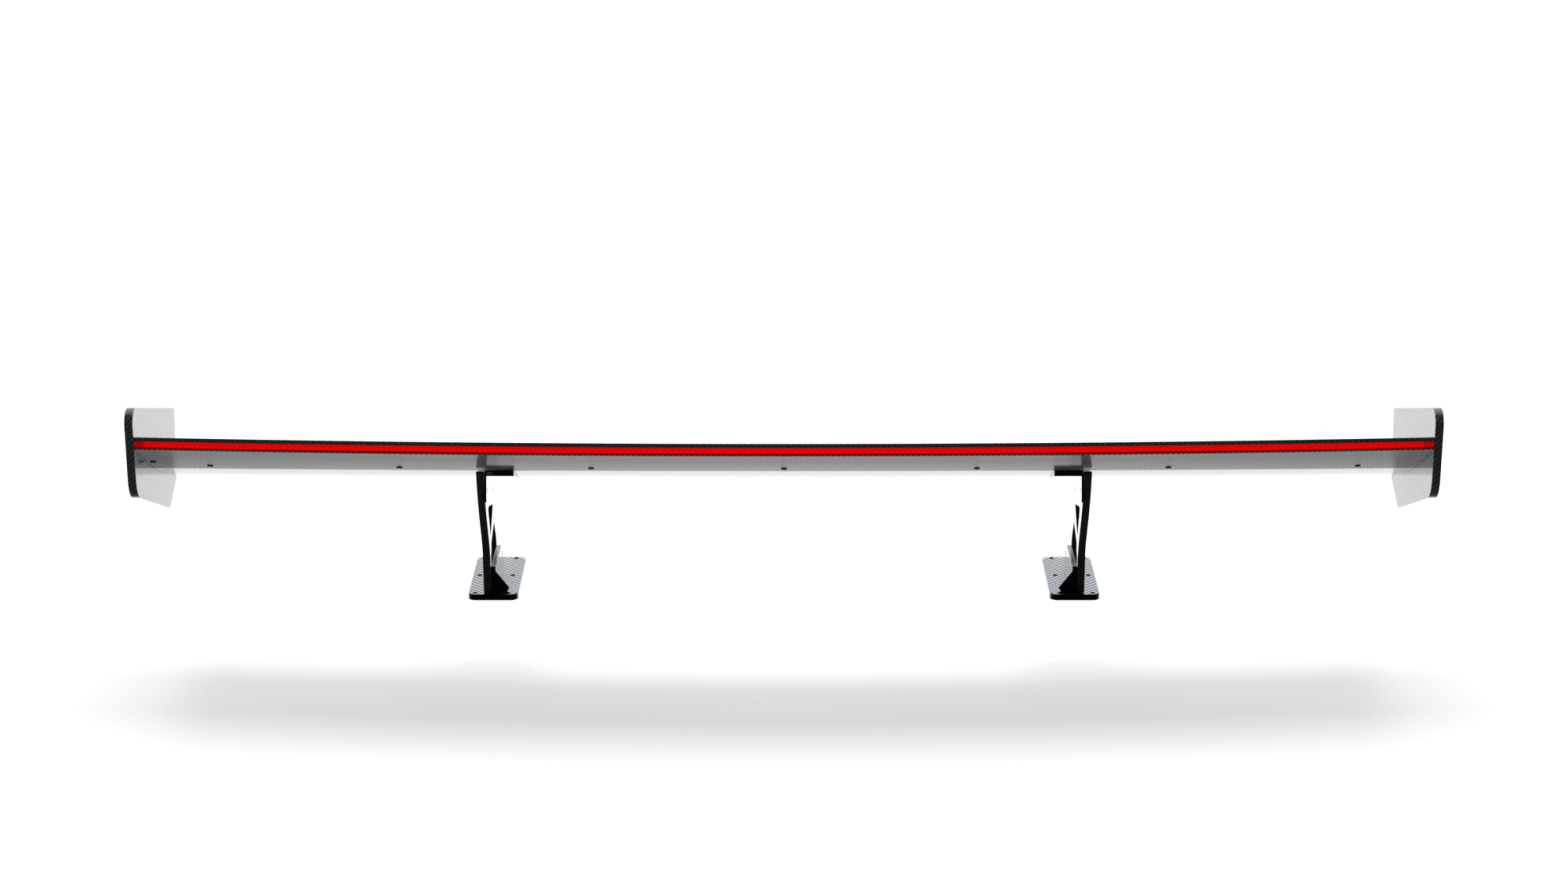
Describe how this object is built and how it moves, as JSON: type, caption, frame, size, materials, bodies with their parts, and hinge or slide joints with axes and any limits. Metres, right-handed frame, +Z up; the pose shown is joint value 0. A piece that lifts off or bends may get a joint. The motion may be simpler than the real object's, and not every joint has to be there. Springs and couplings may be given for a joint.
{
  "type": "racing rear wing",
  "caption": "Bowed carbon rear wing with a red light bar in its trailing edge, two endplates and truss uprights on bolted base brackets; its angle of attack adjusts about two pivot bolts.",
  "frame": {"origin": "under the middle of the part in the plane of the base plates' undersides, midway between its front and rear ends", "axes": "+X along the span to the right, +Y forwards (the way the car drives), +Z up; the plates' undersides lie in Z = 0, and the wing is shown at its lowest angle"},
  "size_m": [1.7, 0.3272, 0.3031],
  "materials": {
    "carbon_twill": "gloss",
    "bracket_twill": "gloss",
    "upright_black": "gloss",
    "bolt_black": "satin",
    "zinc_steel": "satin",
    "bare_aluminium": "satin",
    "red_lens": "gloss",
    "dark_red_plastic": "gloss",
    "circuit_board": "satin",
    "led_body": "satin",
    "grommet_rubber": "matte"
  },
  "bodies": {
    "supports": {"base_bracket_left": "bracket_twill", "base_bracket_right": "bracket_twill", "upright_left": "upright_black", "upright_right": "upright_black", "upright_screws": "bolt_black"},
    "wing": {"pivot_bolts": "bolt_black", "wing_upper_skin": "carbon_twill", "wing_nose_skin": "carbon_twill", "wing_rear_panel": "carbon_twill", "panel_ledge": "carbon_twill", "panel_screws": "bolt_black", "panel_screw_inserts": "bare_aluminium", "front_spar": "carbon_twill", "mounting_ribs": "carbon_twill", "end_ribs": "bare_aluminium", "tapping_plates": "bare_aluminium", "light_bar_lens": "red_lens", "light_bar_end_caps": "dark_red_plastic", "light_bar_housing": "bare_aluminium", "light_bar_board": "circuit_board", "light_bar_leds": "led_body", "cable_grommet": "grommet_rubber", "endplate_left": "carbon_twill", "endplate_right": "carbon_twill", "endplate_screws": "bolt_black", "wing_bracket_left": "bracket_twill", "wing_bracket_right": "bracket_twill", "wing_bracket_screws": "bolt_black", "angle_clamp_bolts": "bolt_black", "angle_clamp_washers": "zinc_steel"}
  },
  "joints": [
    {"name": "wing_angle", "type": "hinge", "parent": "supports", "child": "wing", "pos_m": [0, 0.05333, 0.1433], "axis": [-1, 0, 0], "range_deg": [0, 8]}
  ]
}
